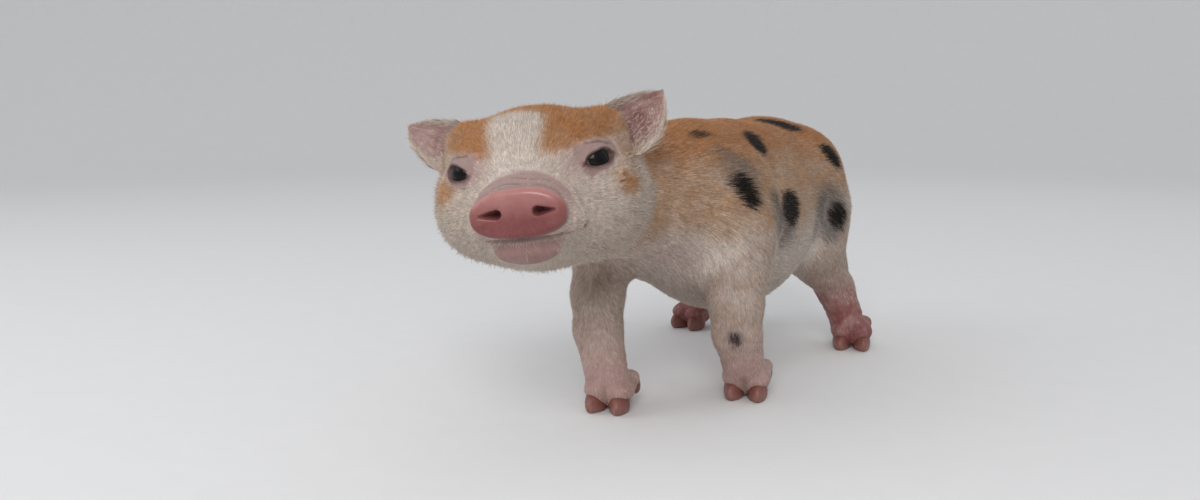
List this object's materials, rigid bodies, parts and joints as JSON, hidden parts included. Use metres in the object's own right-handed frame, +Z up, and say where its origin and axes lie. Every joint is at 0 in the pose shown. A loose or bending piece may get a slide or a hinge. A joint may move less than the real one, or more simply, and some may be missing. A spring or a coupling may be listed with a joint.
{
  "type": "miniature pig",
  "caption": "Life-size standing miniature piglet with its chin lifted and its head turned to its left, a round snout disc, upright cupped ears and a short hanging tail",
  "frame": {"origin": "on the floor, under the middle of the whole piglet's bounding box", "axes": "+Z is up, the trunk points along -Y and the piglet's own left side is +X; the head is turned about 24 degrees to the left"},
  "size_m": [0.1574, 0.3546, 0.1654],
  "materials": {
    "coat": "short flat hair over pink skin",
    "nose": "bare moist pink skin",
    "eye": "wet and glossy, very dark brown",
    "claw": "smooth pinkish horn"
  },
  "bodies": {
    "root": {"head": "coat", "neck": "coat", "torso": "coat", "tail": "coat", "ear_left": "coat", "ear_right": "coat", "leg_fore_left": "coat", "leg_fore_right": "coat", "leg_hind_left": "coat", "leg_hind_right": "coat", "snout_disc": "nose", "eye_left": "eye", "eye_right": "eye", "claw_fore_left_inner": "claw", "claw_fore_left_outer": "claw", "claw_fore_right_inner": "claw", "claw_fore_right_outer": "claw", "claw_hind_left_inner": "claw", "claw_hind_left_outer": "claw", "claw_hind_right_inner": "claw", "claw_hind_right_outer": "claw", "dewclaw_fore_left_inner": "claw", "dewclaw_fore_left_outer": "claw", "dewclaw_fore_right_inner": "claw", "dewclaw_fore_right_outer": "claw", "dewclaw_hind_left_inner": "claw", "dewclaw_hind_left_outer": "claw", "dewclaw_hind_right_inner": "claw", "dewclaw_hind_right_outer": "claw"}
  },
  "joints": []
}
